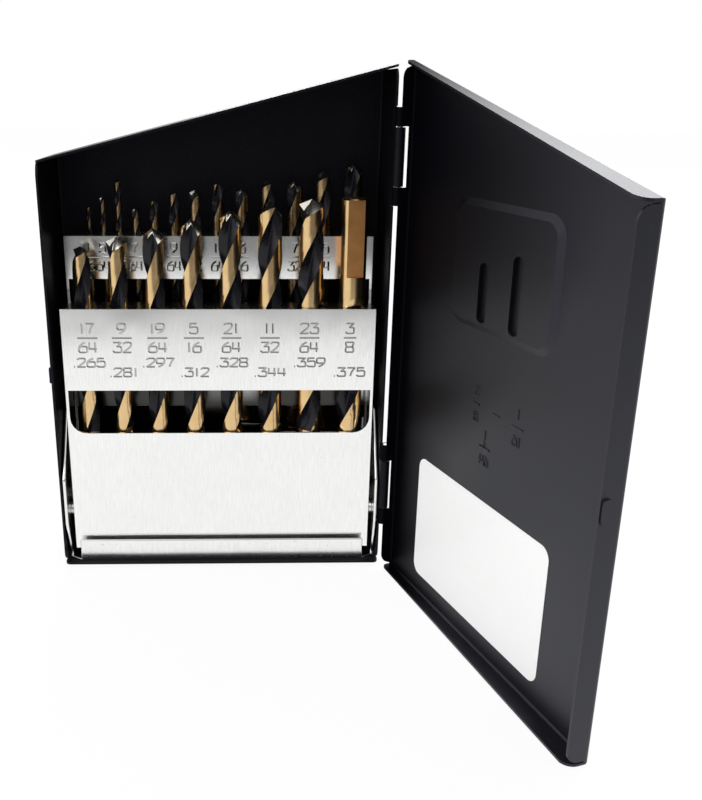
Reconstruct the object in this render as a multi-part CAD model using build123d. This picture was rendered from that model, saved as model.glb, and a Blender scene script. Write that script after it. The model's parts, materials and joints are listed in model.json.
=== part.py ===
from build123d import *
import math
import os

# A drill bit case of folded sheet steel that opens like a book. Its base holds two
# racks of twist drills, one behind the other, and its lid swings on a vertical hinge.
# All sizes are in millimetres. X runs along the width of the base and is 0 at the
# outside of the hinge wall, Y runs from the rim of the base towards its back, Z is up.

# ---- case ----
sheet = 0.8  # painted steel of base and lid
case_width = 121.0  # hinge wall to free wall, outside
tall_side = 182.0  # height of the hinge wall
short_side = 151.0  # height of the free wall
base_depth = 35.0  # rim to outside of back
bend_radius = 0.8  # inside of each fold
lap_gap = 0.3  # between the walls of the base and the lid that laps them
lid_depth = 4.6  # lid at the hinge, rim to outside of panel
lid_lap = 3.2  # how far the lid's free wall reaches over the base
rim_gap = 0.35  # each hinge wall stops this far from the hinge plane
corner_gap = 0.5  # open slit at each folded corner
wall_end_round = 4.0  # rounded ends of the side walls at the rim
flap_end_round = 2.0  # rounded ends of the top and bottom walls at the rim
opening_angle = 108.5  # lid, from shut to the pose that is modelled

# ---- hinges ----
pin_diameter = 2.0
pin_fit = 0.05  # running fit of the lid's knuckles on the pin, radial; the base's grip it
hinge_length = 32.0
middle_knuckle = 19.2
knuckle_gap = 0.3  # between neighbouring knuckles
seam_run = 0.9  # how far round the rolled edge stops short of the wall
knuckle_room = 0.7  # between a knuckle and the notch that clears it
hinge_low, hinge_from_top = 33.4, 29.4  # middle of each hinge from the ends of the hinge wall

# ---- lid pressings and label ----
pad_width, pad_height, pad_rise, pad_round, pad_wall = 56.0, 38.7, 1.2, 7.0, 0.2
pad_slant = 60.0  # degrees that the pad's sides lean inwards
pad_from_hinge, pad_above_floor = 60.5, 124.3
groove_width, groove_depth, groove_wall, groove_lip = 3.4, 1.2, 0.5, 0.2
groove_spans = ((50.2, 107.6, 125.8), (68.2, 107.6, 130.4))  # from hinge, bottom, top
label_width, label_height, label_thick, label_round = 77.0, 45.0, 0.15, 4.0
label_from_hinge, label_above_floor = 57.5, 29.3

# ---- snap bumps ----
oval_sides = 6  # at each round end
bump_length, bump_width, bump_height, bump_wall = 6.0, 1.8, 0.7, 0.7
bump_above_floor, bump_behind_rim, bump_gap = 76.0, 1.3, 0.3

# ---- racks ----
rack_sheet = 1.0
arm_gap = 1.5  # between each ear of the bracket and the arm of a rack
rack_depth = 11.7
front_rack_set_back = 4.3  # rim to label plate
back_rack_set_back = 20.0
flange_chamfer = 3.0
front_top, front_plate_bottom, front_window_bottom, front_apron_bottom = 99.6, 69.2, 52.5, 10.3
back_top, back_plate_bottom, back_window_bottom = 123.2, 107.5, 94.0
back_apron_bottom, back_tab_bottom, back_arm_bottom = 58.0, 52.0, 14.0
back_tab_from_left, back_tab_width = 46.6, 13.0
window_round = 6.0
front_step_lasts = ("11_32", "23_64")  # last drill on each step but the lowest
front_step_heights = (16.0, 13.5, 10.8)
back_step_lasts = ("3_32", "9_64", "11_64", "13_64")
back_step_heights = (85.3, 65.5, 59.3, 50.2, 46.8)
step_sheet = 0.9
front_step_tab, back_step_tab = 1.4, 6.0  # turned up at each end against the arms

# ---- rack bracket and pivots ----
bracket_side_gap = 0.6
ear_nose, ear_nose_below, ear_nose_above = -0.8, 3.0, 15.0  # set back, reach below and above the pivots
ear_top_set_back, ear_top_above, ear_back_above, ear_back_chamfer = 14.0, 39.0, 30.0, 4.0
ear_round = 2.5
lip_height, lip_short = 6.4, 2.1  # the lip stops short of each end of the racks
pivot_height = 20.5
pivot_set_back = 3.6  # behind the face of each rack
pivot_diameter, pivot_fit = 3.2, 0.1
pivot_head, pivot_head_thick, pivot_end_gap = 4.8, 1.1, 0.3

# ---- drills ----
inch = 25.4
front_sizes = {
    "17_64": (17 / 64, 4 + 1 / 8, 2 + 7 / 8),
    "9_32": (9 / 32, 4 + 1 / 4, 2 + 15 / 16),
    "19_64": (19 / 64, 4 + 3 / 8, 3 + 1 / 16),
    "5_16": (5 / 16, 4 + 1 / 2, 3 + 3 / 16),
    "21_64": (21 / 64, 4 + 5 / 8, 3 + 5 / 16),
    "11_32": (11 / 32, 4 + 3 / 4, 3 + 7 / 16),
    "23_64": (23 / 64, 4 + 7 / 8, 3 + 1 / 2),
    "3_8": (3 / 8, 5, 3 + 5 / 8),
}
back_sizes = {
    "1_16": (1 / 16, 1 + 7 / 8, 7 / 8),
    "5_64": (5 / 64, 2, 1),
    "3_32": (3 / 32, 2 + 1 / 4, 1 + 1 / 4),
    "7_64": (7 / 64, 2 + 5 / 8, 1 + 1 / 2),
    "1_8": (1 / 8, 2 + 3 / 4, 1 + 5 / 8),
    "9_64": (9 / 64, 2 + 7 / 8, 1 + 3 / 4),
    "5_32": (5 / 32, 3 + 1 / 8, 2),
    "11_64": (11 / 64, 3 + 1 / 4, 2 + 1 / 8),
    "3_16": (3 / 16, 3 + 1 / 2, 2 + 5 / 16),
    "13_64": (13 / 64, 3 + 5 / 8, 2 + 7 / 16),
    "7_32": (7 / 32, 3 + 3 / 4, 2 + 1 / 2),
    "15_64": (15 / 64, 3 + 7 / 8, 2 + 5 / 8),
    "1_4": (1 / 4, 4, 2 + 3 / 4),
}
hole_gap = 0.3  # radial, round each drill
hole_sides = 16  # holes and rivet heads are many-sided, drawn round the circle they clear
seat_gap = 0.3  # under each drill
front_margins, front_web_growth = (7.7, 8.3), 0.0  # ends of the rack to the outer holes' middles
back_margins, back_web_growth = (8.8, 7.4), 0.32  # growth of the web with the drills beside it
helix_angle = 23.0
land_angle = 92.0
web_share = 0.34  # depth of metal left between the flutes, against the radius
twist_step = 24.0  # degrees between neighbouring sections of the flutes
point_angle = 135.0
flat_share, flat_length, flat_end = 0.77, 27.0, 0.5  # flats that stop the largest shank turning

# ---- sizes worked out from these ----
beyond = 300.0  # further than any piece reaches, for cuts that run right through
overcut = 1.0  # how far a cut starts outside the metal
lap = sheet + lap_gap
floor_z = lap  # outside of the base's bottom
slope = (tall_side - short_side) / case_width
slope_length = math.hypot(1.0, slope)
barrel_radius = pin_diameter / 2 + pin_fit + sheet
axis_x = barrel_radius - sheet
rack_middle_x = -case_width / 2
rack_width = case_width - 2 * (sheet + bracket_side_gap + rack_sheet + arm_gap)
lip_width = rack_width - 2 * lip_short
rack_left_x = rack_middle_x - rack_width / 2
rack_right_x = rack_middle_x + rack_width / 2
leaf_reach = barrel_radius + knuckle_room
hinge_heights = (hinge_low, tall_side - hinge_from_top)
back_tab_left = rack_left_x + back_tab_from_left
back_tab_right = back_tab_left + back_tab_width


def roof(x, raised=0.0):
    """Height of the sloping top above x, raised square to it."""
    return floor_z + short_side + (x + case_width) * slope + raised * slope_length


def outline(right, left, bottom, raised):
    """The trapezoid seen from the front, as a face in the XZ plane."""
    corners = [(right, bottom), (left, bottom), (left, roof(left, raised)), (right, roof(right, raised))]
    return Face(Wire.make_polygon([Vector(x, 0, z) for x, z in corners], close=True))


def prism(points, plane, near, far):
    """A flat shape drawn on a plane and extruded from near to far along its normal."""
    face = make_face(Polyline(*points, close=True))
    return extrude(plane.offset(near) * face, amount=far - near)


def slab_y(points, near, far):
    """Points in X and Z, extruded along Y."""
    return prism([(x, -z) for x, z in points], Plane.XZ.rotated((180, 0, 0)), near, far)


def slab_x(points, near, far):
    """Points in Y and Z, extruded along X."""
    return prism(points, Plane.YZ, near, far)


def slab_z(points, near, far):
    """Points in X and Y, extruded along Z."""
    return prism(points, Plane.XY, near, far)


def block(low, high):
    size = [b - a for a, b in zip(low, high)]
    return Pos(*[(a + b) / 2 for a, b in zip(low, high)]) * Box(*size)


def rod(radius, near, far, x=0.0, y=0.0):
    return Pos(x, y, near) * Cylinder(radius, far - near, align=(Align.CENTER, Align.CENTER, Align.MIN))


def cross_rod(radius, near, far, y, z):
    """A cylinder along X."""
    return Pos(near, y, z) * Rot(0, 90, 0) * rod(radius, 0, far - near)


def oval(length, width):
    """A slot shape whose round ends are drawn with a few straight sides."""
    radius = width / 2
    middle = length / 2 - radius
    angles = [math.pi * i / oval_sides for i in range(oval_sides + 1)]
    end = [(radius * math.cos(a), middle + radius * math.sin(a)) for a in angles]
    return make_face(Polyline(*end, *[(-x, -y) for x, y in end], close=True))


def folded_tray(outer, inner, back, rim):
    """A trapezoid panel with four walls folded up from it towards the rim."""
    depth = rim - back
    direction = (0, math.copysign(1, depth), 0)
    skin = sheet * math.copysign(1, depth)
    body = Solid.extrude(outer.moved(Pos(0, back, 0)), Vector(0, depth, 0))
    hollow = Solid.extrude(inner.moved(Pos(0, back + skin, 0)), Vector(0, depth, 0))
    at_back = [e for e in body.edges() if abs(e.center().Y - back) < 1e-6]
    body = body.fillet(bend_radius + sheet, at_back)
    at_floor = [e for e in hollow.edges() if abs(e.center().Y - back - skin) < 1e-6]
    hollow = hollow.fillet(bend_radius, at_floor)
    return Part(body.wrapped) - Part(hollow.wrapped)


def corner_waste(u, v, into_u, into_v, radius):
    """What a rounded corner at (u, v) takes away: the outside of a quarter circle."""
    centre_u = u + into_u * radius
    centre_v = v + into_v * radius
    steps = [math.radians(15 * i) for i in range(7)]
    u_way, v_way = into_u * radius, into_v * radius
    arc = [(centre_u - u_way * math.cos(a), centre_v - v_way * math.sin(a)) for a in steps]
    return [(u - into_u, centre_v)] + arc + [(centre_u, v - into_v), (u - into_u, v - into_v)]


def open_side(tray, outside, inward, rim, into, bottom, raised, panel):
    """Frees the ends of one side wall from the top and bottom walls and rounds them."""
    x0, x1 = sorted((outside - inward, outside + inward * sheet))
    stop = panel - into * (bend_radius + sheet + corner_gap)
    near, far = sorted((rim - into * overcut, stop))
    low = bottom + sheet + corner_gap
    under = [roof(x, raised - sheet) for x in (x0, x1)]
    tray -= block((x0, near, bottom + sheet), (x1, far, low))
    slit = [(x0, under[0]), (x1, under[1]), (x1, under[1] - corner_gap), (x0, under[0] - corner_gap)]
    tray -= slab_y(slit, near, far)
    high = roof(outside, raised - sheet) - corner_gap
    between_flaps = block((x0, -beyond, bottom + sheet), (x1, beyond, min(under)))
    for z, up in ((low, 1), (high, -1)):
        waste = slab_x(corner_waste(rim, z, into, up, wall_end_round), x0, x1)
        tray -= waste & between_flaps
    return tray


def round_flaps(tray, outside, inward, rim, into, bottom, raised, radius):
    """Rounds the rim corners of the top and bottom walls at one end."""
    waste = corner_waste(outside, rim, inward, into, radius)
    under_roof = min(roof(x, raised - sheet) for x in (outside, outside + inward * radius))
    tray -= slab_z(waste, bottom - overcut, bottom + sheet + corner_gap / 2)
    return tray - slab_z(waste, under_roof - corner_gap / 2, beyond)


def knuckle(bottom, top, side, bore):
    """A barrel rolled from the hinge wall; side is 1 for the base and -1 for the lid."""
    ring = Circle(barrel_radius) - Circle(bore)
    reach = 2 * barrel_radius
    corners = [(0, 0), (seam_run, reach * side), (-reach, reach * side), (-reach, 0)]
    seam = make_face(Polyline(*corners, close=True))
    leaf = Pos(-barrel_radius + sheet / 2, side * leaf_reach / 2) * Rectangle(sheet, leaf_reach)
    return extrude(Pos(axis_x, 0, bottom) * (ring - seam + leaf), amount=top - bottom)


def knuckle_spans(height):
    """Bottom and top of the three knuckles of the hinge at a height."""
    middle = floor_z + height
    half, inner = hinge_length / 2, middle_knuckle / 2
    return (
        (middle - half, middle - inner - knuckle_gap),
        (middle - inner, middle + inner),
        (middle + inner + knuckle_gap, middle + half),
    )


def notch(bottom, top, side):
    """The gap in a hinge wall that the other half's knuckle turns in."""
    near, far = sorted((-side * overcut, side * leaf_reach))
    return block((-sheet - overcut, near, bottom - knuckle_gap), (overcut, far, top + knuckle_gap))


def bump(x, height, length, width):
    """An oval pressing that stands out of a side wall towards -X."""
    wall = Plane.YZ.offset(x) * Pos(bump_behind_rim, floor_z + bump_above_floor)
    return extrude(wall * oval(length, width), amount=-height)


def make_base():
    outer = outline(0, -case_width, floor_z, 0)
    inner = outline(-sheet, -case_width + sheet, floor_z + sheet, -sheet)
    base = folded_tray(outer, inner, base_depth, 0)
    wall_top = roof(-sheet, -sheet) - corner_gap / 2
    base -= block((-sheet - overcut, -overcut, floor_z + sheet), (overcut, rim_gap, wall_top))
    for outside, inward, rim in ((0, -1, rim_gap), (-case_width, 1, 0)):
        base = open_side(base, outside, inward, rim, 1, floor_z, 0, base_depth)
        base = round_flaps(base, outside, inward, 0, 1, floor_z, 0, flap_end_round)
    base += bump(-case_width, bump_height, bump_length, bump_width)
    base -= bump(-case_width + sheet, bump_height, bump_length - bump_wall, bump_width - bump_wall)
    for height in hinge_heights:
        lower, middle, upper = knuckle_spans(height)
        for bottom, top in (lower, upper):
            base -= notch(bottom, top, 1)
        base += knuckle(*middle, 1, pin_diameter / 2)
    return base


def swing(shape):
    """Turns a piece of the lid from its shut place to its open one."""
    return shape.rotate(Axis((axis_x, 0, 0), (0, 0, 1)), opening_angle)


def lid_panel(raised):
    """A plane level with the inside of the lid's panel, or raised above it, with x to the right."""
    return Plane.XZ.rotated((180, 0, 0)).offset(sheet - lid_depth + raised)


def make_lid():
    left = -case_width - lap
    outer = outline(0, left, 0, lap)
    inner = outline(-sheet, left + sheet, sheet, lap - sheet)
    lid = folded_tray(outer, inner, -lid_depth, lid_lap + overcut)
    # the rim runs at a slant, from the hinge plane out to the lap at the free wall
    slant = (lid_lap + rim_gap) / -left
    clear_of_rim = lid_lap + 2 * overcut
    rim = [(overcut, -rim_gap), (0, -rim_gap), (left - overcut, lid_lap + overcut * slant)]
    rim += [(left - overcut, clear_of_rim), (overcut, clear_of_rim)]
    lid -= slab_z(rim, -overcut, beyond)
    sides = ((0, -1, -rim_gap, flap_end_round), (left, 1, lid_lap, wall_end_round))
    for outside, inward, end, radius in sides:
        lid = open_side(lid, outside, inward, end, -1, 0, lap, -lid_depth)
        lid = round_flaps(lid, outside, inward, end, -1, 0, lap, radius)
    # pressed pad, raised to the inside, with two grooves in it
    middle = Pos(-pad_from_hinge, -(floor_z + pad_above_floor))
    pad = lid_panel(0) * middle * RectangleRounded(pad_width, pad_height, pad_round)
    narrower = 2 * pad_wall
    hollow = RectangleRounded(pad_width - narrower, pad_height - narrower, pad_round - pad_wall)
    lid += extrude(pad, amount=pad_rise, taper=pad_slant)
    lid -= extrude(lid_panel(-sheet) * middle * hollow, amount=pad_rise, taper=pad_slant)
    for from_hinge, low, high in groove_spans:
        centre = Pos(-from_hinge, -(floor_z + (low + high) / 2))
        slot = oval(high - low, groove_width)
        shell = oval(high - low + 2 * groove_wall, groove_width + 2 * groove_wall)
        lid += extrude(lid_panel(pad_rise - sheet) * centre * shell, amount=-groove_depth)
        lid -= extrude(lid_panel(pad_rise) * centre * slot, amount=-groove_depth - groove_lip)
    grown = 2 * bump_gap
    lid += bump(left, bump_height, bump_length + grown + bump_wall, bump_width + grown + bump_wall)
    lid -= bump(left + sheet, bump_height + bump_gap, bump_length + grown, bump_width + grown)
    for height in hinge_heights:
        lower, centre, upper = knuckle_spans(height)
        lid -= notch(*centre, -1)
        for bottom, top in (lower, upper):
            lid += knuckle(bottom, top, -1, pin_diameter / 2 + pin_fit)
    return swing(lid)


def make_label():
    middle = Pos(-label_from_hinge, -(floor_z + label_above_floor))
    sticker = lid_panel(0) * middle * RectangleRounded(label_width, label_height, label_round)
    return swing(extrude(sticker, amount=label_thick))


def make_hinge_pin(height):
    bottom = floor_z + height - hinge_length / 2
    return rod(pin_diameter / 2, bottom, bottom + hinge_length, axis_x, 0)


def make_bracket():
    """A channel: floor on the base's floor, a lip in front and an ear up each side wall."""
    bottom = floor_z + sheet
    left = -case_width + sheet + bracket_side_gap
    right = -sheet - bracket_side_gap
    front = front_rack_set_back
    back = base_depth - sheet - bend_radius - bracket_side_gap
    pivot_z = floor_z + pivot_height
    lip_left = rack_middle_x - lip_width / 2
    lip_end = (lip_left + lip_width, front + rack_sheet, bottom + lip_height)
    bracket = block((left, front, bottom), (right, back, bottom + rack_sheet))
    bracket += block((lip_left, front, bottom), lip_end)
    profile = Polyline(
        (back, bottom),
        (front + rack_sheet, bottom),
        (ear_nose, pivot_z - ear_nose_below),
        (ear_nose, pivot_z + ear_nose_above),
        (ear_top_set_back, pivot_z + ear_top_above),
        (back - ear_back_chamfer, pivot_z + ear_top_above),
        (back, pivot_z + ear_back_above),
        close=True,
    )
    ear = make_face(profile)
    ear = fillet([v for v in ear.vertices() if v.Y > pivot_z - 2 * ear_nose_below], ear_round)
    for near in (left, right - rack_sheet):
        bracket += extrude(Plane.YZ.offset(near) * ear, amount=rack_sheet)
    for face_y in (front_rack_set_back, back_rack_set_back):
        place = Pos(left - overcut, face_y + pivot_set_back, pivot_z) * Rot(0, 90, 0)
        hole = RegularPolygon(pivot_diameter / 2, hole_sides)
        bracket -= extrude(place * hole, amount=right - left + 2 * overcut)
    return bracket


def hole_places(sizes, margins, growth):
    """X of each hole: an even web of metal between neighbours, plus a share of their size."""
    names = list(sizes)
    first, last = rack_left_x + margins[0], rack_right_x - margins[1]
    means = [(sizes[a][0] + sizes[b][0]) * inch / 2 for a, b in zip(names, names[1:])]
    web = (last - first - (1 + growth) * sum(means)) / len(means)
    places = {names[0]: first}
    for before, name, mean in zip(names, names[1:], means):
        places[name] = places[before] + (1 + growth) * mean + web
    return places


def window(face_y, low, high):
    """The cut between label plate and apron, square above and round below."""
    x0, x1 = rack_left_x + rack_sheet, rack_right_x - rack_sheet
    r = window_round
    arc = [math.radians(18 * i) for i in range(6)]
    left = [(x0 + r - r * math.cos(a), low + r - r * math.sin(a)) for a in arc]
    right = [(x0 + x1 - x, z) for x, z in reversed(left)]
    return slab_y([(x0, high)] + left + right + [(x1, high)], face_y - overcut, face_y + rack_sheet)


def make_rack(set_back, apron, plate_bottom, window_bottom, top, arm_bottom, sizes, places):
    """Label plate and apron with a window between, arms at the sides, drilled flange on top."""
    front, back = set_back, set_back + rack_depth
    arm_back = back - flange_chamfer
    under = top - rack_sheet
    rack = slab_y(apron, front, front + rack_sheet)
    arm = [(front, arm_bottom), (arm_back, arm_bottom), (arm_back, under), (front, under)]
    pivot_y = set_back + pivot_set_back
    for x in (rack_left_x, rack_right_x - rack_sheet):
        rack += slab_x(arm, x, x + rack_sheet)
    flange_left = [(rack_left_x + flange_chamfer, back), (rack_left_x, arm_back), (rack_left_x, front)]
    flange_right = [(rack_right_x, front), (rack_right_x, arm_back), (rack_right_x - flange_chamfer, back)]
    rack += slab_z(flange_left + flange_right, under, top)
    rack -= window(front, window_bottom, plate_bottom)
    for name, (diameter, _, _) in sizes.items():
        hole = RegularPolygon(diameter * inch / 2 + hole_gap, hole_sides, major_radius=False)
        place = Pos(places[name], set_back + rack_depth / 2, under - overcut)
        rack -= extrude(place * hole, amount=rack_sheet + 2 * overcut)
    for x in (rack_left_x, rack_right_x - rack_sheet):
        bore = pivot_diameter / 2 + pivot_fit
        rack -= cross_rod(bore, x - overcut, x + rack_sheet + overcut, pivot_y, pivot_height)
    return Pos(0, 0, floor_z) * rack


def make_pivot(set_back, side):
    """A shouldered rivet: flush in the ear, a collar in the gap, a head inside the rack's arm."""
    ear_outer = case_width / 2 - sheet - bracket_side_gap
    ear_inner = ear_outer - rack_sheet
    arm_outer = rack_width / 2
    collar_end = arm_outer + pivot_end_gap
    head_start = arm_outer - rack_sheet - pivot_end_gap
    disc = RegularPolygon(pivot_head / 2, hole_sides)
    shank = RegularPolygon(pivot_diameter / 2, hole_sides)
    rivet = rod(pivot_diameter / 2, head_start, collar_end)
    rivet += extrude(Pos(0, 0, collar_end) * disc, amount=ear_inner - collar_end)
    rivet += extrude(Pos(0, 0, ear_inner) * shank, amount=rack_sheet)
    rivet += extrude(Pos(0, 0, head_start) * disc, amount=-pivot_head_thick)
    place = Pos(rack_middle_x, set_back + pivot_set_back, floor_z + pivot_height)
    return place * Rot(0, 90 * side, 0) * rivet


def step_ends(places, lasts):
    """X of each riser: half way between the last drill on a step and the next one."""
    names = list(places)
    nexts = [names[names.index(name) + 1] for name in lasts]
    return [(places[a] + places[b]) / 2 for a, b in zip(lasts, nexts)]


def make_steps(set_back, places, lasts, heights, tab):
    """A strip folded into a staircase behind a rack's apron, that its row stands on."""
    half = step_sheet / 2
    left, right = rack_left_x + rack_sheet + half, rack_right_x - rack_sheet - half
    edges = [left] + step_ends(places, lasts) + [right]
    path = [(left, heights[0] + tab)]
    for start, end, height in zip(edges, edges[1:], heights):
        path += [(start, height - half), (end, height - half)]
    path.append((right, heights[-1] + tab))
    near, far = set_back + rack_sheet, set_back + rack_depth
    strip = trace(Polyline(*[(x, z + floor_z) for x, z in path]), step_sheet)
    return extrude(Plane.XZ.offset(-near) * strip, amount=near - far)


def step_under(name, places, lasts, heights):
    """Height of the step that a drill stands on."""
    risers_passed = sum(places[name] > end for end in step_ends(places, lasts))
    return heights[risers_passed]


def flute_ring(radius, height, turn):
    """Six corners of a fluted section: two lands across the width and two flute bottoms."""
    half_land = math.radians(land_angle / 2)
    web = web_share * radius
    around = [(half_land, radius), (math.pi / 2, web), (math.pi - half_land, radius)]
    around += [(angle + math.pi, reach) for angle, reach in around]
    turned = [(angle + math.radians(turn), reach) for angle, reach in around]
    return [Vector(reach * math.cos(a), reach * math.sin(a), height) for a, reach in turned]


def flutes(radius, bottom, corner, tip):
    """The fluted length of a drill, a stack of turned sections joined by flat facets."""
    lead = 2 * math.pi * radius / math.tan(math.radians(helix_angle))
    turn = 360 * (corner - bottom) / lead
    steps = round(turn / twist_step)
    rings = []
    for i in range(steps + 1):
        share = i / steps
        rings.append(flute_ring(radius, bottom + share * (corner - bottom), share * turn))
    triangles = []
    for low, high in zip(rings, rings[1:]):
        for i in range(len(low)):
            j = (i + 1) % len(low)
            triangles += [(low[i], low[j], high[j]), (low[i], high[j], high[i])]
    last = rings[-1]
    triangles += [(last[i], last[(i + 1) % len(last)], Vector(0, 0, tip)) for i in range(len(last))]
    faces = [Face(Wire.make_polygon(t, close=True)) for t in triangles]
    faces.append(Face(Wire.make_polygon(rings[0], close=True)))
    return Part(Solid(Shell(faces)).wrapped)


def make_drill(size, fluted, shank_up=False):
    """A twist drill standing on the XY plane, point up unless it is turned over."""
    diameter, length, flute = [value * inch for value in size]
    radius = diameter / 2
    corner = length - radius / math.tan(math.radians(point_angle / 2))
    if fluted:
        shank_length = length - flute
        drill = rod(radius, 0, shank_length) + flutes(radius, shank_length, corner, length)
    else:
        pointed = [(-radius, 0), (radius, 0), (radius, corner), (0, length), (-radius, corner)]
        drill = rod(radius, 0, length) & slab_y(pointed, -radius, radius) & slab_x(pointed, -radius, radius)
    if shank_up:
        for turn in (0, 120, 240):
            far = (radius, -flat_share * radius, flat_end + flat_length)
            flat = block((-radius, -2 * radius, flat_end), far)
            drill -= Rot(0, 0, turn) * flat
        drill = Pos(0, 0, length) * Rot(180, 0, 180) * drill
    return drill


front_places = hole_places(front_sizes, front_margins, front_web_growth)
back_places = hole_places(back_sizes, back_margins, back_web_growth)
front_apron = [
    (rack_left_x, front_apron_bottom),
    (rack_right_x, front_apron_bottom),
    (rack_right_x, front_top),
    (rack_left_x, front_top),
]
back_apron = [
    (rack_left_x, back_apron_bottom),
    (back_tab_left, back_apron_bottom),
    (back_tab_left, back_tab_bottom),
    (back_tab_right, back_tab_bottom),
    (back_tab_right, back_apron_bottom),
    (rack_right_x, back_apron_bottom),
    (rack_right_x, back_top),
    (rack_left_x, back_top),
]

nodes = {
    "case_base": make_base(),
    "case_lid": make_lid(),
    "size_label": make_label(),
    "hinge_pin_lower": make_hinge_pin(hinge_heights[0]),
    "hinge_pin_upper": make_hinge_pin(hinge_heights[1]),
    "rack_bracket": make_bracket(),
    "front_rack": make_rack(
        front_rack_set_back, front_apron, front_plate_bottom, front_window_bottom,
        front_top, front_apron_bottom, front_sizes, front_places,
    ),
    "front_shelf": make_steps(
        front_rack_set_back, front_places, front_step_lasts, front_step_heights, front_step_tab
    ),
    "back_rack": make_rack(
        back_rack_set_back, back_apron, back_plate_bottom, back_window_bottom,
        back_top, back_arm_bottom, back_sizes, back_places,
    ),
    "back_stair": make_steps(
        back_rack_set_back, back_places, back_step_lasts, back_step_heights, back_step_tab
    ),
    "front_pivot_left": make_pivot(front_rack_set_back, -1),
    "front_pivot_right": make_pivot(front_rack_set_back, 1),
    "back_pivot_left": make_pivot(back_rack_set_back, -1),
    "back_pivot_right": make_pivot(back_rack_set_back, 1),
}
front_y = front_rack_set_back + rack_depth / 2
back_y = back_rack_set_back + rack_depth / 2
for name, size in front_sizes.items():
    step = step_under(name, front_places, front_step_lasts, front_step_heights)
    stand = floor_z + step + seat_gap
    drill = make_drill(size, fluted=True, shank_up=name == "3_8")
    nodes["drill_" + name] = Pos(front_places[name], front_y, stand) * drill
for name, size in back_sizes.items():
    step = step_under(name, back_places, back_step_lasts, back_step_heights)
    stand = floor_z + step + seat_gap
    nodes["drill_" + name] = Pos(back_places[name], back_y, stand) * make_drill(size, fluted=False)

# the frame's origin is the middle of the base's bottom
origin = Pos(case_width / 2, -base_depth / 2, -floor_z)
os.makedirs("parts", exist_ok=True)
for name, shape in nodes.items():
    export_step(origin * shape, f"parts/{name}.step")
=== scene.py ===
import json
import math

import bmesh
import bpy
from mathutils import Matrix, Vector


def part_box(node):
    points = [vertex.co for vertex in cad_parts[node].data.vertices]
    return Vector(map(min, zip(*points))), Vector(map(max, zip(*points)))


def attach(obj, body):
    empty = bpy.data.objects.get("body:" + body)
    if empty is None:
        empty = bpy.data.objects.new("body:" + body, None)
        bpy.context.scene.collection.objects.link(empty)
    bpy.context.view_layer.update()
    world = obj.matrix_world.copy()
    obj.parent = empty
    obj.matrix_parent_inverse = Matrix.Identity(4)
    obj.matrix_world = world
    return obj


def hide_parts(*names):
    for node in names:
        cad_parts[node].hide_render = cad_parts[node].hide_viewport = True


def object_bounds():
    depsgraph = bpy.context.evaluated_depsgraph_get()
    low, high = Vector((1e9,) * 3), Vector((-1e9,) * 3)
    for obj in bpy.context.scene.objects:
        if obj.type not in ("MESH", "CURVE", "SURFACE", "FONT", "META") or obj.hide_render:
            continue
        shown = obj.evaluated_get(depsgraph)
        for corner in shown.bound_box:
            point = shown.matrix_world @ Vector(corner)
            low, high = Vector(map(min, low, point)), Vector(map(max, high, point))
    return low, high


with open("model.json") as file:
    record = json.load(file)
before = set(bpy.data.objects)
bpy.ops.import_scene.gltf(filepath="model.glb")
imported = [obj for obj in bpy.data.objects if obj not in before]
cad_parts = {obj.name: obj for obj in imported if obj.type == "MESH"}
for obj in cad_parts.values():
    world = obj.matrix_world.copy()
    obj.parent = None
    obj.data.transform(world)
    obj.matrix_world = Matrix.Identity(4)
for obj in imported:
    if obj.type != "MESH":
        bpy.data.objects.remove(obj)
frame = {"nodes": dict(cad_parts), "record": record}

cad_low, cad_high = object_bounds()

# Base of the case: one blank of cold-rolled sheet, folded up at four sides, with the
# middle knuckles of both hinges rolled from its hinge wall. It is sprayed satin black
# after forming, and the paint is rubbed through to brown steel along sheared edges.

MM = 0.001


class Signal:
    """A socket's value, which Python's operators turn into Math nodes."""

    def __init__(self, finish, socket):
        self.finish, self.socket = finish, socket

    def math(self, operation, first, second):
        return self.finish.node("Math", {0: first, 1: second}, operation=operation)

    def __add__(self, other):
        return self.math("ADD", self, other)

    def __sub__(self, other):
        return self.math("SUBTRACT", self, other)

    def __rsub__(self, other):
        return self.math("SUBTRACT", other, self)

    def __mul__(self, other):
        return self.math("MULTIPLY", self, other)

    __radd__, __rmul__ = __add__, __mul__


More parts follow.
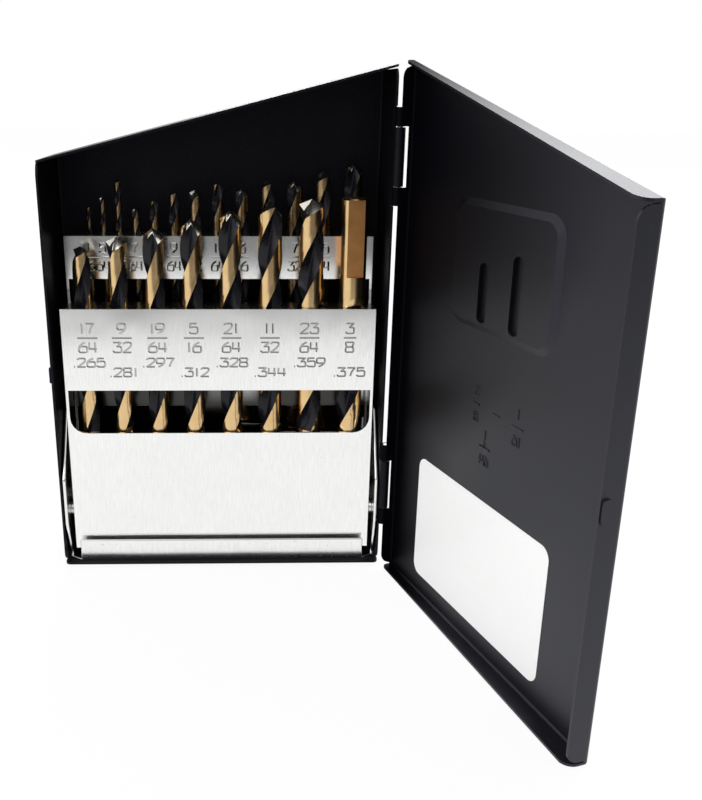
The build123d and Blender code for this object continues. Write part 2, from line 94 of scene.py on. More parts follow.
class Finish:
    """A material or a world, and the ways its nodes are made."""

    def __init__(self, owner, **constants):
        owner.use_nodes = True
        self.owner, self.tree = owner, owner.node_tree
        self.shader = self.tree.nodes.get("Background") or self.tree.nodes["Principled BSDF"]
        for socket, value in constants.items():
            self.set(self.shader, socket.replace("_", " "), value)

    def set(self, node, socket, value):
        if isinstance(value, Signal):
            self.tree.links.new(value.socket, node.inputs[socket])
        else:
            node.inputs[socket].default_value = value

    def node(self, kind, sockets, output=0, **settings):
        made = self.tree.nodes.new("ShaderNode" + kind)
        for name, value in settings.items():
            setattr(made, name, value)
        for socket, value in sockets.items():
            self.set(made, socket, value)
        return Signal(self, made.outputs[output])

    def along(self, axis, coordinates="Object"):
        """One of the three coordinates of a point, or of its normal."""
        return self.node("SeparateXYZ", {0: self.node("TexCoord", {}, coordinates)}, axis)

    def noise(self, per_mm, detail=2.0, stretch=(1, 1, 1)):
        metres = self.node("TexCoord", {}, "Object")
        where = self.node("Mapping", {"Vector": metres, "Scale": [s / MM for s in stretch]})
        return self.node("TexNoise", {"Vector": where, "Scale": per_mm, "Detail": detail})

    def blend(self, share, first, second):
        return self.node("Mix", {0: share, 6: first, 7: second}, 2, data_type="RGBA")

    def between(self, signal, low, high):
        """0 where the signal is at its low value and 1 where it is at its high one."""
        return self.node("MapRange", {"Value": signal, "From Min": low, "From Max": high})

    def bump(self, height, distance_mm):
        sockets = {"Height": height, "Distance": distance_mm * MM}
        self.set(self.shader, "Normal", self.node("Bump", sockets))

    def mix(self, share, other):
        """Shows the shader with a share of another one over it."""
        own = Signal(self, self.shader.outputs[0])
        shown = self.node("MixShader", {0: share, 1: own, 2: other})
        self.set(self.tree.nodes["Material Output"], "Surface", shown)


def black_finish(name, rubbed, gloss):
    """Satin black paint, with a share of its surface rubbed down to brown steel."""
    paint = Finish(bpy.data.materials.new(name), Coat_Roughness=0.42, Specular_IOR_Level=gloss)
    paint.set(paint.shader, "Specular Tint", (0.80, 0.82, 1.0, 1))
    cloud = paint.noise(0.03, 3.0)
    orange_peel = paint.noise(1.3, 2.0)
    dust = paint.between(paint.noise(2.6, 1.0), 0.71, 0.77)
    wear = paint.between(paint.noise(0.7, 5.0), 0.66 - 0.3 * rubbed, 0.80 - 0.3 * rubbed)
    colour = paint.blend(cloud, (0.0020, 0.0020, 0.0032, 1), (0.0050, 0.0050, 0.0072, 1))
    colour = paint.blend(0.35 * dust, colour, (0.09, 0.09, 0.10, 1))
    colour = paint.blend(rubbed * wear, colour, (0.150, 0.055, 0.034, 1))
    paint.set(paint.shader, "Base Color", colour)
    paint.set(paint.shader, "Roughness", 0.38 + 0.10 * cloud + 0.20 * dust)
    paint.set(paint.shader, "Coat Weight", 0.3 * gloss * (1 - dust))
    paint.bump(orange_peel, 0.010)
    return paint


mostly_rubbed = 0.75  # share of a sheared edge that has lost its paint
# The base's paints are the lid's with less gloss. This paints shade over the whole base, because
# its inside stands in shade.
shaded_paint = black_finish("shaded_black_paint", 0.0, 0.12)
shaded_rubbed_paint = black_finish("rubbed_shaded_black_paint", mostly_rubbed, 0.3)

weld_mm = 0.002
flat_within, eased_over = math.radians(0.6), math.radians(28)
sheet_ease = 0.16  # width of the ease on the edges of black sheet


def add(name, data):
    """Puts a mesh, a curve, a lamp or a camera into the scene."""
    thing = bpy.data.objects.new(name, data)
    bpy.context.scene.collection.objects.link(thing)
    return thing


def copy_of(node, finish, edge_finish, ease_mm):
    """A cleaned copy of a solid's mesh, with its sharp edges eased and finished apart."""
    mesh = frame["nodes"][node].data.copy()
    mesh.materials.clear()
    for part_finish in (finish, edge_finish):
        mesh.materials.append(part_finish.owner)
    work = bmesh.new()
    work.from_mesh(mesh)
    edges = work.edges
    bmesh.ops.remove_doubles(work, verts=work.verts, dist=weld_mm * MM)
    bmesh.ops.dissolve_limit(work, angle_limit=flat_within, verts=work.verts, edges=edges)
    for face in work.faces:
        face.smooth = True
        face.material_index = 0
    work.to_mesh(mesh)
    work.free()
    piece = add(node + "_piece", mesh)
    ease = piece.modifiers.new("ease", "BEVEL")
    ease.width, ease.segments = ease_mm * MM, 2
    ease.angle_limit = eased_over
    ease.material = 1
    return piece


def shape_of(thing):
    """The mesh that an object's modifiers, or its curve, come to."""
    view = bpy.context.evaluated_depsgraph_get()
    view.update()
    return bpy.data.meshes.new_from_object(thing.evaluated_get(view))


def settle(piece):
    """Turns a piece's modifiers into its mesh."""
    mesh = shape_of(piece)
    piece.modifiers.clear()
    piece.data = mesh


def put(piece, node, body, crease=40):
    """Shades a piece by the size of its faces, and sets it in its node's place on a body."""
    settle(piece)
    if "custom_normal" in piece.data.attributes:
        piece.data.attributes.remove(piece.data.attributes["custom_normal"])
    piece.data.set_sharp_from_angle(angle=math.radians(crease))
    shade = piece.modifiers.new("shade", "WEIGHTED_NORMAL")
    shade.keep_sharp = True
    settle(piece)
    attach(piece, body)
    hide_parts(node)


def pull(piece, low, high, move, widen=1, place=Matrix()):
    """Moves a piece's points inside a box, in millimetres, and spreads them along its X."""
    for vertex in piece.data.vertices:
        at = place.inverted() @ vertex.co / MM
        if all(start < along < end for start, along, end in zip(low, at, high)):
            at.x += (widen - 1) * (at.x - (low[0] + high[0]) / 2)
            vertex.co = place @ ((at + Vector(move)) * MM)


base_low, base_high = [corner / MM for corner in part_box("case_base")]
wall_outside, wall_inside = base_low.x + 0.2, base_low.x + 1.6  # a little off its two faces
wall_front, wall_back = base_low.y + 2, base_high.y - 2
wall_corner, over_wall = -14, 150
base = copy_of("case_base", shaded_paint, shaded_rubbed_paint, sheet_ease)
for front, back, lowest, rise in (  # fills the free wall out to the roof, corner first
    (wall_front, wall_corner, 147.5, 0.28),
    (wall_front, wall_corner, 148.6, 0.28),
    (wall_front, wall_corner - 1, 148.8, 0.35),
    (wall_corner, wall_back, 149.4, 0.45),
):
    pull(base, (wall_outside, front, lowest), (wall_inside, back, over_wall), (0, 0, rise))
put(base, "case_base", "base")

# Rack bracket: a channel of zinc-plated sheet on the floor of the base. Its lip stands
# in front of the racks and its two ears reach up the side walls to carry the rivets.


def zinc_finish(name, shine, roughness, dish_top=None, dish_bottom=None):
    """Zinc plate over rolled sheet. Stamping dishes some of it, and below the dish it is painted
    dark as shade, with painted gleams of reflection in that shade.
    """
    zinc = Finish(bpy.data.materials.new(name), Metallic=1.0)
    grain = zinc.noise(4.0, 4.0, (1, 1, 0.05))
    bloom = zinc.noise(0.07, 4.0)
    waves = zinc.noise(0.045, 1.0)
    pits = zinc.between(zinc.noise(2.2, 2.0, (1, 1, 0.5)), 0.67, 0.72)
    clouded = (0.93 * shine, 0.94 * shine, 0.94 * shine, 1)
    colour = zinc.blend(bloom, (shine, shine, 0.97 * shine, 1), clouded)
    colour = zinc.blend(0.5 * pits, colour, (0.30, 0.30, 0.31, 1))
    streaks = zinc.between(grain, 0.35, 0.65)
    colour = zinc.blend(0.18 * streaks, colour, (0.60, 0.61, 0.60, 1))
    relief = 0.012 * grain + waves
    if dish_top:
        height = zinc.along("Z")
        dished = zinc.between(height, dish_top * MM, dish_bottom * MM)
        relief = relief - 3.4 * dished * dished
        # Painted shade darkens the plate below the dish, where it stands behind the front rack, and
        # painted gleams of reflection lift that shade in patches.
        lit_above, shaded_below = 0.82 * dish_bottom, 0.72 * dish_bottom
        gleams_above, no_gleams_below = 0.63 * dish_bottom, 0.57 * dish_bottom
        painted_shade = zinc.between(height, lit_above * MM, shaded_below * MM)
        painted_gleams = zinc.between(zinc.noise(0.03, 1.0, (1, 1, 0.3)), 0.50, 0.60)
        painted_gleams = painted_gleams * zinc.between(height, no_gleams_below * MM, gleams_above * MM)
        colour = zinc.blend((0.97 - 0.8 * painted_gleams) * painted_shade, colour, (0.03, 0.028, 0.025, 1))
    zinc.set(zinc.shader, "Base Color", colour)
    zinc.set(zinc.shader, "Roughness", roughness + 0.08 * grain + 0.10 * pits)
    zinc.bump(relief, 0.20)
    return zinc


zinc = zinc_finish("bright_zinc", 0.98, 0.15)
zinc_edge = zinc_finish("zinc_edge", 0.97, 0.12)
rack_low, rack_high = [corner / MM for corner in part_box("front_rack")]
lip_left, lip_right = rack_low.x + 1.5, rack_high.x - 1.5
lip_front, lip_back = rack_low.y - 0.5, rack_low.y + 1.2
half_up_lip, over_lip = 5, 9
lip_step, lip_rise = 2.8, 2.4
lip_corner = (lip_right, lip_back, over_lip)
bracket = copy_of("rack_bracket", zinc, zinc_edge, ease_mm=0.34)
pull(bracket, (lip_left, lip_front, 0), lip_corner, (0, -lip_step, 0))  # it laps the apron
pull(bracket, (lip_left, lip_front - lip_step, half_up_lip), lip_corner, (0, 0, lip_rise))
put(bracket, "rack_bracket", "base")

# Racks: each is a zinc-plated sheet folded into a label plate, two side arms and a
# drilled top flange. The sizes are struck into the plate with steel number stamps, and
# a folded strip behind each apron holds the drills at their heights.

three = [(0, 1), (0.97, 1), (0.97, 1), (0.45, 0.58), (0.45, 0.58), (1, 0.6), (1, 0.3)]
three += [(1, 0), (0.5, 0), (0, 0), (0, 0.18)]
five = [(0.9, 1), (0.12, 1), (0.12, 1), (0.08, 0.58), (0.08, 0.58), (0.4, 0.66), (1, 0.66)]
five += [(1, 0.3), (1, 0), (0.5, 0), (0.05, 0), (0, 0.16)]
six = [(0.8, 1), (0.3, 0.85), (0, 0.5), (0, 0.3), (0, 0), (0.5, 0), (1, 0), (1, 0.3)]
six += [(1, 0.6), (0.5, 0.6), (0.08, 0.6), (0, 0.32)]
eight = [(0.58, 1), (0.3, 1), (0, 1), (0.04, 0.8), (0.12, 0.53), (0, 0.28), (0, 0), (0.5, 0)]
eight += [(1, 0), (1, 0.28), (0.88, 0.53), (0.96, 0.8), (1, 1), (0.7, 1), (0.42, 1)]
swan_neck = [(0.03, 0.8), (0.1, 1), (0.5, 1), (1, 1), (1, 0.7), (0.75, 0.45), (0, 0), (0, 0)]
stamps = {  # strokes of each number stamp, in a cell 1 wide and 1 high
    "1": [[(0.5, 0), (0.5, 1)]],
    "2": [swan_neck + [(1, 0)]],
    "3": [three],
    "4": [[(0.1, 1), (0.05, 0.36), (0.05, 0.36), (1, 0.36)], [(0.8, 1), (0.8, 0)]],
    "5": [five],
    "6": [six],
    "7": [[(0, 1), (1, 1), (1, 1), (0.55, 0.5), (0.4, 0)]],
    "8": [eight, [(0.06, 0.53), (0.94, 0.53)]],
    "9": [[(1 - x, 1 - z) for x, z in six]],
    ".": [[(0.3, 0.02), (0.7, 0.02)]],
}
narrow_stamps = {"1": 0.55, ".": 0.35}  # width of their cells
stamp_gap = 0.22  # between two cells, against the width of one


def number(text, x, z, height, width):
    """Strokes of a number whose middle is at a point of the XZ plane."""
    cells = [narrow_stamps.get(figure, 1) * width for figure in text]
    left = x - (sum(cells) + stamp_gap * width * (len(cells) - 1)) / 2
    strokes = []
    for figure, cell in zip(text, cells):
        for stroke in stamps[figure]:
            strokes.append([(left + u * cell, z + (v - 0.5) * height) for u, v in stroke])
        left += cell + stamp_gap * width
    return strokes


def fraction(top, bottom, x, z, height, width, drop):
    """Strokes of a number over a line over a number, with the line at the point."""
    one_figure = max(len(top), len(bottom)) == 1
    reach = width * (0.78 if one_figure else 1.24)
    over = number(top, x, z + drop, height, width)
    under = number(bottom, x, z - drop, height, width)
    return over + under + [[(x - reach, z), (x + reach, z)]]


def split_round(piece, strokes, clear, place):
    """Splits a piece's faces round some strokes, which keeps their cuts off the bends."""
    work = bmesh.new()
    work.from_mesh(piece.data)
    for axis, way in ((0, 1), (0, -1), (1, 1), (1, -1)):
        far = clear + max(way * point[axis] for stroke in strokes for point in stroke)
        outwards = Vector((way, 0, 0) if axis == 0 else (0, 0, way))
        geometry = work.verts[:] + work.edges[:] + work.faces[:]
        corner, normal = place @ (outwards * far * MM), place.to_3x3() @ outwards
        bmesh.ops.bisect_plane(work, geom=geometry, plane_co=corner, plane_no=normal)
    work.to_mesh(piece.data)
    work.free()


split_margin = 0.6  # between the strokes and the splits round them


def struck(piece, strokes, y, thick, finish, operation="DIFFERENCE", place=Matrix()):
    """Presses strokes into a piece, or out of it, where the XZ plane at y is its surface."""
    split_round(piece, strokes, split_margin + thick / 2, place)
    curve = bpy.data.curves.new("strokes", "CURVE")
    curve.dimensions = "3D"
    curve.bevel_depth, curve.bevel_resolution = thick / 2 * MM, 2
    curve.use_fill_caps = True
    for stroke in strokes:
        spline = curve.splines.new("NURBS")
        spline.points.add(len(stroke) - 1)
        for point, (x, z) in zip(spline.points, stroke):
            point.co = (x * MM, y * MM, z * MM, 1)
        spline.order_u = min(3, len(stroke))
        spline.use_endpoint_u = True
        spline.resolution_u = 4
    drawn = add("strokes", curve)
    mesh = shape_of(drawn)
    bpy.data.objects.remove(drawn)
    mesh.transform(place)
    mesh.materials.clear()
    piece.data.materials.append(finish.owner)
    for part_finish in piece.data.materials:
        mesh.materials.append(part_finish)
    for polygon in mesh.polygons:
        polygon.material_index = len(mesh.materials) - 1
    tool = add("strokes", mesh)
    cut = piece.modifiers.new("strokes", "BOOLEAN")
    cut.object, cut.operation, cut.solver = tool, operation, "EXACT"
    cut.use_self = True
    settle(piece)
    bpy.data.objects.remove(tool)


stamped_top, stamped_bottom = 120.7, 103.7  # heights between which the back plate is dished
# The back plate's zinc, painted dark as shade below its dish, with painted gleams.
shaded_zinc = zinc_finish("shaded_zinc", 0.90, 0.15, stamped_top, stamped_bottom)
# The struck strokes are a darker zinc, which paints shade into their grooves.
shaded_struck_zinc = zinc_finish("shaded_struck_zinc", 0.46, 0.12)
front_row = {  # decimal size, length of the flutes in inches, turn in the hole in degrees
    "17_64": (".265", 2 + 7 / 8, 174),
    "9_32": (".281", 2 + 15 / 16, 36),
    "19_64": (".297", 3 + 1 / 16, 69),
    "5_16": (".312", 3 + 3 / 16, 60),
    "21_64": (".328", 3 + 5 / 16, 46),
    "11_32": (".344", 3 + 7 / 16, 70),
    "23_64": (".359", 3 + 1 / 2, 117),
    "3_8": (".375", 3 + 5 / 8, 145),
}
back_row = {  # length of the flutes in inches, turn in the hole in degrees
    "1_16": (7 / 8, 20),
    "5_64": (1, 150),
    "3_32": (1 + 1 / 4, 65),
    "7_64": (1 + 1 / 2, 110),
    "1_8": (1 + 5 / 8, 15),
    "9_64": (1 + 3 / 4, 80),
    "5_32": (2, 130),
    "11_64": (2 + 1 / 8, 40),
    "3_16": (2 + 5 / 16, 165),
    "13_64": (2 + 7 / 16, 95),
    "7_32": (2 + 1 / 2, 30),
    "15_64": (2 + 5 / 8, 140),
    "1_4": (2 + 3 / 4, 75),
}


def middle_x(node):
    """Middle of a solid along X, in millimetres."""
    low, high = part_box(node)
    return (low.x + high.x) / 2 / MM


front_fraction = {"z": 89.1, "height": 3.7, "width": 2.9, "drop": 3.5}
back_fraction = {"z": 115.6, "height": 3.4, "width": 2.2, "drop": 3.3}
decimal_z, decimal_height, decimal_width = (79.9, 76.2), 3.2, 2.9  # on two lines, by turns
stamp_spacing, stamp_shift = 0.975, 0.35  # against the holes, a little closer and to the right
stroke_thick, stroke_proud = 0.82, 0.16
front_strokes, back_strokes = [], []
for count, (size, (decimal, *_)) in enumerate(front_row.items()):
    x = stamp_spacing * middle_x("drill_" + size) + stamp_shift
    front_strokes += fraction(*size.split("_"), x, **front_fraction)
    front_strokes += number(decimal, x, decimal_z[count % 2], decimal_height, decimal_width)
for size in back_row:
    back_strokes += fraction(*size.split("_"), middle_x("drill_" + size), **back_fraction)

apron_drop = 5.2
apron_low = (base_low.x, lip_front, 0)
apron_high = (base_high.x, lip_back, rack_low.z + 0.5)
for rack, strip, plate_finish, strokes in (
    ("front_rack", "front_shelf", zinc, front_strokes),
    ("back_rack", "back_stair", shaded_zinc, back_strokes),
):
    piece = copy_of(rack, plate_finish, zinc_edge, ease_mm=0.28)
    if rack == "front_rack":
        pull(piece, apron_low, apron_high, (0, 0, -apron_drop))
    settle(piece)
    face_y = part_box(rack)[0].y / MM
    struck(piece, strokes, face_y - stroke_proud, stroke_thick, shaded_struck_zinc)
    put(piece, rack, rack)
    put(copy_of(strip, zinc, zinc_edge, ease_mm=0.12), strip, rack)

# Rivets: four shouldered rivets of turned steel, on which the racks tilt. Each passes
# through a rack's side arm and is set over behind an ear of the bracket.

rivet_steel = Finish(bpy.data.materials.new("rivet_steel"), Metallic=1.0)
turned = rivet_steel.noise(1.5, 3.0)
steel = rivet_steel.blend(turned, (0.78, 0.78, 0.77, 1), (0.60, 0.60, 0.58, 1))
rivet_steel.set(rivet_steel.shader, "Base Color", steel)
rivet_steel.set(rivet_steel.shader, "Roughness", 0.20 + 0.20 * turned)
for row in ("front", "back"):
    for side in ("left", "right"):
        node = row + "_pivot_" + side
        put(copy_of(node, rivet_steel, rivet_steel, ease_mm=0.25), node, "base")

# Lid of the case: the same black sheet folded into a shallow tray that laps the base.
# A raised pad with two pressed grooves stiffens it, and the range of sizes is stamped
# from the outside, so it stands out backwards on the inside.

joints = {joint["name"]: joint for joint in frame["record"]["behaviour"]["joints"]}
pin = Vector(joints["lid_hinge"]["pos_m"])
opened = Matrix.Rotation(math.radians(-joints["lid_hinge"]["range_deg"][0]), 4, "Z")
swung = Matrix.Translation(pin) @ opened @ Matrix.Translation(-pin)
pin_y = pin.y / MM
lid_skin, lid_depth, pin_to_wall = 0.8, 4.6, 1.05
hinge_wall_x = pin.x / MM - pin_to_wall
outside_y = pin_y - lid_depth
inside_y = outside_y + lid_skin

range_fraction = {"height": 3.0, "width": 2.3, "drop": 4.2}
range_sizes = (  # distance of each size from the hinge wall, and its height
    ("1", "16", 74.9, 81.3),
    ("3", "8", 52.2, 81.8),
    ("1", "64", 58.6, 69.2),
)
dash_x, dash_z, dash_reach = hinge_wall_x - 63.6, 81.5, 1.8
range_strokes = []
for top, bottom, from_hinge, z in range_sizes:
    range_strokes += fraction(top, bottom, hinge_wall_x - from_hinge, z, **range_fraction)
range_strokes.append([(dash_x - dash_reach, dash_z), (dash_x + dash_reach, dash_z)])

matt_within = 6 * MM  # of the pins
glossy_beyond, glossy_later = 45 * MM, 60 * MM  # at the foot of the lid, and more at its head
foot_z, head_z = 60 * MM, 130 * MM
most_shade = 0.92


def shade_towards_hinge(paint):
    """Paints shade on the inside of the lid near the hinge, by fading the paint to a matt black
    that shows no sheen.
    """
    x, y, z = [paint.along(axis) for axis in "XYZ"]
    facing_x, facing_y = [paint.along(axis, "Normal") for axis in "XY"]
    away, inwards = opened @ Vector((-1, 0, 0)), opened @ Vector((0, 1, 0))
    from_pin = away.x * (x - pin.x) + away.y * (y - pin.y)
    inside = paint.between(inwards.x * facing_x + inwards.y * facing_y, -0.7, -0.3)
    glossy_from = glossy_beyond + glossy_later * paint.between(z, foot_z, head_z)
    sheen = paint.between(from_pin, matt_within, glossy_from)
    shade_black = paint.node("BsdfDiffuse", {"Color": (0.001, 0.001, 0.002, 1)})
    paint.mix(inside * (most_shade - most_shade * sheen), shade_black)
    return paint


grooves = ((50.2, -2.4), (68.2, -1.6))  # how far from the hinge wall, and how far to move
groove_reach, groove_spread = 2.4, 1.47
groove_foot, groove_head = 104, 131
raised_thick, sunk_thick = 0.62, 0.42  # strokes of the range, inside and outside
wall_back_x, wall_face_x = hinge_wall_x - 0.9, hinge_wall_x + 0.1
# The lid's paints carry painted shade on the inside near the hinge.
black_paint = shade_towards_hinge(black_finish("black_paint", 0.0, 0.48))
rubbed_paint = shade_towards_hinge(black_finish("rubbed_black_paint", mostly_rubbed, 0.48))
lid = copy_of("case_lid", black_paint, rubbed_paint, sheet_ease)
for from_hinge, move in grooves:
    x = hinge_wall_x - from_hinge
    low = (x - groove_reach, outside_y - lid_depth, groove_foot)
    high = (x + groove_reach, pin_y, groove_head)
    pull(lid, low, high, (move, 0, 0), groove_spread, swung)
for front, back, foot, head, reach in (  # the wall's edge, and its edge in the lower notch
    (pin_y - 1.6, pin_y - 0.2, 1, 181, 0.6),
    (pin_y - 2.7, pin_y - 2.45, 20, 50, 0.45),
):
    low, high = (wall_back_x, front, foot), (wall_face_x, back, head)
    pull(lid, low, high, (0, reach, 0), place=swung)
settle(lid)
struck(lid, range_strokes, inside_y, raised_thick, black_paint, "UNION", swung)
struck(lid, range_strokes, outside_y, sunk_thick, black_paint, place=swung)
put(lid, "case_lid", "lid")

# Hinge pins: two lengths of drawn steel wire, pushed through the rolled knuckles and
# left bare, so they are greyer than the paint round them.

pin_steel = Finish(bpy.data.materials.new("pin_steel"), Metallic=1.0)
drawn_lines = pin_steel.noise(3.0, 3.0, (1, 1, 0.05))
steel = pin_steel.blend(drawn_lines, (0.46, 0.45, 0.44, 1), (0.30, 0.29, 0.28, 1))
pin_steel.set(pin_steel.shader, "Base Color", steel)
pin_steel.set(pin_steel.shader, "Roughness", 0.30 + 0.25 * drawn_lines)
for level in ("lower", "upper"):
    node = "hinge_pin_" + level
    put(copy_of(node, pin_steel, pin_steel, ease_mm=0.2), node, "base")

# Size label: a rectangle of white plastic film with round corners, stuck flat on the
# inside of the lid with its own adhesive. It is left bare.

film = Finish(bpy.data.materials.new("white_film"), Coat_Weight=0.2, Coat_Roughness=0.2)
fibre = film.noise(0.8, 4.0)
white = film.blend(fibre, (0.95, 0.95, 0.95, 1), (0.91, 0.91, 0.905, 1))
film.set(film.shader, "Base Color", white)
film.set(film.shader, "Roughness", 0.40 + 0.15 * fibre)
film.bump(fibre, 0.004)
put(copy_of("size_label", film, film, ease_mm=0.04), "size_label", "lid")

# Drills: twist drills of tool steel, black in the flutes and ground to a straw gold on
# the lands and shanks, with bright split points. They stand loose in their holes. The
# largest has three flats milled on its shank and is kept shank up.


def gold_finish(name, light, dark, roughness, stretch=(0.06, 0.06, 2.0)):
    """Steel with a straw-coloured oxide film, ground with fine lines along one direction."""
    gold = Finish(bpy.data.materials.new(name), Metallic=1.0)
    ground = gold.noise(6.0, 3.0, stretch)
    gold.set(gold.shader, "Base Color", gold.blend(gold.noise(0.22, 3.0), light, dark))
    gold.set(gold.shader, "Roughness", roughness + 0.12 * ground)
    gold.bump(ground, 0.0012)
    return gold


straw, dark_straw = (0.82, 0.60, 0.32, 1), (0.68, 0.45, 0.21, 1)
# The back row's gold is painted darker, as painted shade where those drills stand deep in the case.
shaded_straw, dark_shaded_straw = (0.52, 0.37, 0.20, 1), (0.16, 0.10, 0.05, 1)
copper, dark_copper = (0.90, 0.46, 0.17, 1), (0.66, 0.30, 0.10, 1)
gold = gold_finish("straw_gold", straw, dark_straw, 0.15)
shaded_gold = gold_finish("shaded_gold", shaded_straw, dark_shaded_straw, 0.22)
milled = gold_finish("milled_gold", copper, dark_copper, 0.30, (0.05, 0.05, 3.0))

oxide = Finish(bpy.data.materials.new("black_oxide"), Specular_IOR_Level=0.26)
smoke = oxide.noise(0.4, 3.0)
blueing = oxide.blend(smoke, (0.0030, 0.0030, 0.0050, 1), (0.0100, 0.0100, 0.0150, 1))
oxide.set(oxide.shader, "Base Color", blueing)
oxide.set(oxide.shader, "Roughness", 0.20 + 0.16 * smoke)

point = Finish(bpy.data.materials.new("ground_point"), Metallic=1.0)
scratch = point.noise(5.0, 2.0)
bright = point.blend(scratch, (0.93, 0.90, 0.82, 1), (0.80, 0.76, 0.66, 1))
point.set(point.shader, "Base Color", bright)
point.set(point.shader, "Roughness", 0.16 + 0.12 * scratch)

ground_face, flute_face, point_face, flat_face = range(4)
inch = 25.4
lead = 57.0  # of the front row's flutes
least_lead = 1.15 / math.tan(math.radians(24))  # of a thin drill's, against its girth
steps_per_turn, least_steps = 60, 10
land, margin = math.radians(85), math.radians(10)
land_relief = 0.03  # of the land behind its margin, against the radius
web = 0.28  # half of the metal between the flutes, against the radius
run_out = 2.2  # length over which a flute grows to its depth, against the radius
bare_rings = 6  # at the foot of the flutes, where they are still gold
land_steps, flute_steps = 10, 14
chamfer = 0.12  # on the end of the shank, against the radius
point_slope = math.tan(math.radians(22.5))
point_relief = 1.0  # fall of the ground point from lip to heel, against the radius
heel_curve = 1.4  # how late the ground point falls, from lip to heel
point_rings = 10


def section(radius, depth):
    """Angle, reach and place on the land of each point round half of a drill."""
    points = []
    for i in range(land_steps + 1):
        angle = land / 2 - land * i / land_steps
        relieved = i > land_steps * margin / land + 0.5
        points.append((angle, radius * (1 - land_relief * depth * relieved), i / land_steps))
    for i in range(1, flute_steps):
        share = i / flute_steps
        angle = -land / 2 - (math.pi - land) * share
        hollow = math.sin(math.pi * (1 - share) ** 0.75) ** 0.8
        points.append((angle, radius * (1 - (1 - web) * hollow * depth), None))
    return points


def drill_mesh(work, name, ground_finish):
    """Ends the work on a mesh, and gives it the finishes of a drill's faces."""
    mesh = bpy.data.meshes.new(name)
    work.to_mesh(mesh)
    work.free()
    for finish in (ground_finish, oxide, point, milled):
        mesh.materials.append(finish.owner)
    return mesh


def twist_drill(name, diameter, length, flute, turn, ground_finish):
    """A drill from its shank's end at 0 to its point, round the Z axis, in millimetres."""
    radius = diameter / 2
    pitch = min(lead, math.pi * diameter * least_lead)
    shank = length - flute
    shoulder = length - radius * (point_slope + point_relief)
    steps = max(least_steps, round((shoulder - shank) / pitch * steps_per_turn))
    heights = [0.0, chamfer * radius, 0.5 * shank, shank]
    heights += [shank + (shoulder - shank) * i / steps for i in range(1, steps + 1)]
    heights += [shoulder] * point_rings
    work = bmesh.new()
    rings = []
    for level, z in enumerate(heights):
        into_point = max(0, level - len(heights) + point_rings + 1) / point_rings
        depth = min(1, max(0, (z - shank) / (run_out * radius)))
        half = section(radius, depth * depth * (3 - 2 * depth))
        ring = []
        for side in (0, math.pi):
            for angle, reach, along_land in half:
                if level == 0:
                    reach -= chamfer * radius
                fall = 1 if along_land is None else along_land ** heel_curve
                end = length - reach * (point_slope + point_relief * fall)
                height = z + (end - z) * into_point
                wound = max(0, height - shank) / pitch
                swing = math.radians(turn) + angle + side + 2 * math.pi * wound
                place = (reach * math.cos(swing), reach * math.sin(swing), height)
                ring.append(work.verts.new(place))
        ring.reverse()
        rings.append(ring)
    around = len(rings[0])
    on_land = [(around - 1 - i) % (around // 2) <= land_steps for i in range(around)]
    for level, (low, high) in enumerate(zip(rings, rings[1:])):
        for i in range(around):
            j = (i + 1) % around
            face = work.faces.new((low[i], low[j], high[j], high[i]))
            blackened = level > bare_rings and not (on_land[i] and on_land[j])
            face.material_index = flute_face if blackened else ground_face
    tip = work.verts.new((0, 0, length))
    for i in range(around):
        face = work.faces.new((rings[-1][i], rings[-1][(i + 1) % around], tip))
        face.material_index = point_face
    work.faces.new(list(reversed(rings[0])))
    for face in work.faces:
        face.smooth = True
    mesh = drill_mesh(work, name, ground_finish)
    mesh.transform(Matrix.Scale(MM, 4))
    return mesh


flat_length, flat_end_round = 27 * MM, 1.4 * MM
flat_middle = 14.0 * MM  # below the end of the shank
flat_to_axis = 0.77  # against the radius
flat_directions = (7, 127, 247)


def flat_cutter(node, direction):
    """What is milled away for one flat of the largest shank."""
    low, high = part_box(node)
    radius = (high.x - low.x) / 2
    work = bmesh.new()
    bmesh.ops.create_cube(work, size=1)
    bmesh.ops.scale(work, vec=(3 * radius, 2 * radius, flat_length), verts=work.verts)
    across = [edge for edge in work.edges if abs((edge.verts[0].co - edge.verts[1].co).y) > radius]
    rounding = {"offset": flat_end_round, "segments": 4, "affect": "EDGES", "profile": 0.5}
    bmesh.ops.bevel(work, geom=across, **rounding)
    for face in work.faces:
        face.material_index = flat_face
    mesh = drill_mesh(work, "flat", gold)
    outwards = Matrix.Translation((0, -(1 + flat_to_axis) * radius, 0))
    turned_to = Matrix.Rotation(math.radians(direction), 4, "Z")
    middle = ((low.x + high.x) / 2, (low.y + high.y) / 2, high.z - flat_middle)
    mesh.transform(Matrix.Translation(middle) @ turned_to @ outwards)
    return mesh


def stand_drill(size, flute, turn, ground_finish, shank_up=False):
    """Stands a drill where its solid is."""
    node = "drill_" + size
    low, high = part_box(node)
    top, bottom = size.split("_")
    diameter, length = int(top) / int(bottom) * inch, (high.z - low.z) / MM
    mesh = twist_drill(node, diameter, length, flute * inch, turn, ground_finish)
    if shank_up:
        upturned = Matrix.Rotation(math.pi, 4, "X") @ Matrix.Translation((0, 0, -length * MM))
        mesh.transform(upturned)
    mesh.transform(Matrix.Translation(((low.x + high.x) / 2, (low.y + high.y) / 2, low.z)))
    piece = add(node + "_piece", mesh)
    for direction in flat_directions if shank_up else ():
        tool = add("flat", flat_cutter(node, direction))
        mill = piece.modifiers.new("flat", "BOOLEAN")
        mill.object, mill.operation, mill.solver = tool, "DIFFERENCE", "EXACT"
        settle(piece)
        bpy.data.objects.remove(tool)
    put(piece, node, node + "_body", crease=32)


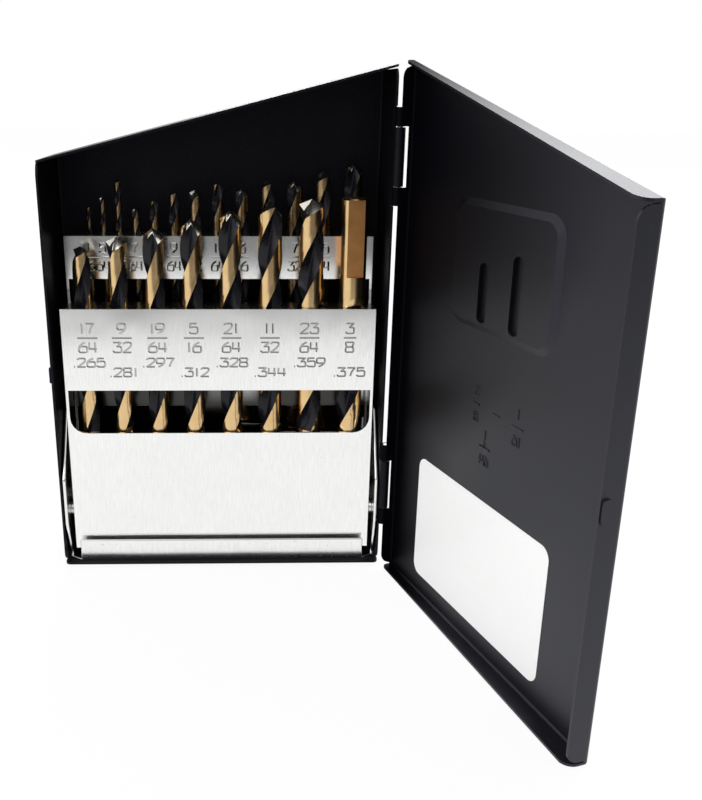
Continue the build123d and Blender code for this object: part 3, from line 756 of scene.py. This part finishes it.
for size, (_, flute, turn) in front_row.items():
    stand_drill(size, flute, turn, gold, shank_up=size == "3_8")
for size, (flute, turn) in back_row.items():
    # The back row's drills take the gold with painted shade.
    stand_drill(size, flute, turn, shaded_gold)

# Studio: a matt pale table top that ends in front of the case, with white all round it.
# A smaller soft box stands in front on the left, and a larger one behind lights it most.

table_front, table_back, table_side = -0.42, 4, 3
under_case = 0.0001


def seen_white(finish):
    """1 for rays from the camera or off a gloss, which see plain white behind the case."""
    kinds = ("Is Camera Ray", "Is Glossy Ray", "Is Transmission Ray")
    camera_ray, glossy_ray, through_ray = [finish.node("LightPath", {}, kind) for kind in kinds]
    return camera_ray + glossy_ray + through_ray


table = bpy.data.meshes.new("table")
table_z = cad_low[2] - under_case
corners = [(-table_side, table_front), (table_side, table_front)]
corners += [(table_side, table_back), (-table_side, table_back)]
table.from_pydata([(x, y, table_z) for x, y in corners], [], [(0, 1, 2, 3)])
pale = Finish(bpy.data.materials.new("pale_table"), Base_Color=(0.95, 0.95, 0.95, 1), Roughness=0.9)
pale.mix(0.92 * seen_white(pale), pale.node("Emission", {"Color": (1, 1, 1, 1), "Strength": 1.0}))
table.materials.append(pale.owner)
add("table", table)

white_wall, dark_wall, lit_wall = (1, 1, 1, 1), (0.22, 0.22, 0.22, 1), (0.95, 0.95, 0.95, 1)
world = bpy.data.worlds.new("studio")
bpy.context.scene.world = world
studio = Finish(world, Strength=1.0)
across, depth, height = [studio.along(axis, "Generated") for axis in "XYZ"]
dark_front = studio.between(depth, 0.1, -0.6) * studio.between(height, 0.75, 0.35)
dark_front = dark_front * studio.between(across, -0.50, -0.25)
reflected = studio.blend(dark_front, white_wall, dark_wall)
seen = studio.blend(studio.node("LightPath", {}, "Is Camera Ray"), reflected, white_wall)
diffuse_ray = studio.node("LightPath", {}, "Is Diffuse Ray")
studio.set(studio.shader, "Color", studio.blend(diffuse_ray, seen, lit_wall))


def soft_box(name, place, target, size, power):
    """A square soft box that faces a point."""
    light = bpy.data.lights.new(name, "AREA")
    light.size, light.energy = size, power
    holder = add(name, light)
    holder.location = place
    facing = Vector(target) - Vector(place)
    holder.rotation_euler = facing.to_track_quat("-Z", "Y").to_euler()


soft_box("key", place=(-0.7, -0.7, 1.1), target=(0, 0, 0.08), size=1.0, power=5)
soft_box("back", place=(0.6, 1.5, 1.0), target=(0, 0, 0.1), size=2.0, power=48)

image_width, image_height, focal_pixels = 702, 800, 940.68
axis_column, axis_row = 277.57, 422.51  # pixel that the lens looks straight at
pan, tilt, roll = math.radians(-1.47), math.radians(70.404), math.radians(0.308)
eye = (0.01287, -0.34400, 0.17438)
optics = bpy.data.cameras.new("camera")
optics.sensor_fit = "VERTICAL"
optics.sensor_height = 24
optics.lens = focal_pixels * optics.sensor_height / image_height
optics.shift_x = (image_width / 2 - axis_column) / image_height
optics.shift_y = (axis_row - image_height / 2) / image_height
optics.clip_start, optics.clip_end = 0.01, 50
camera = add("camera", optics)
aim = Matrix.Rotation(pan, 4, "Z") @ Matrix.Rotation(tilt, 4, "X") @ Matrix.Rotation(roll, 4, "Z")
camera.matrix_world = Matrix.Translation(eye) @ aim
bpy.context.scene.camera = camera
bpy.context.scene.view_settings.view_transform = "Standard"
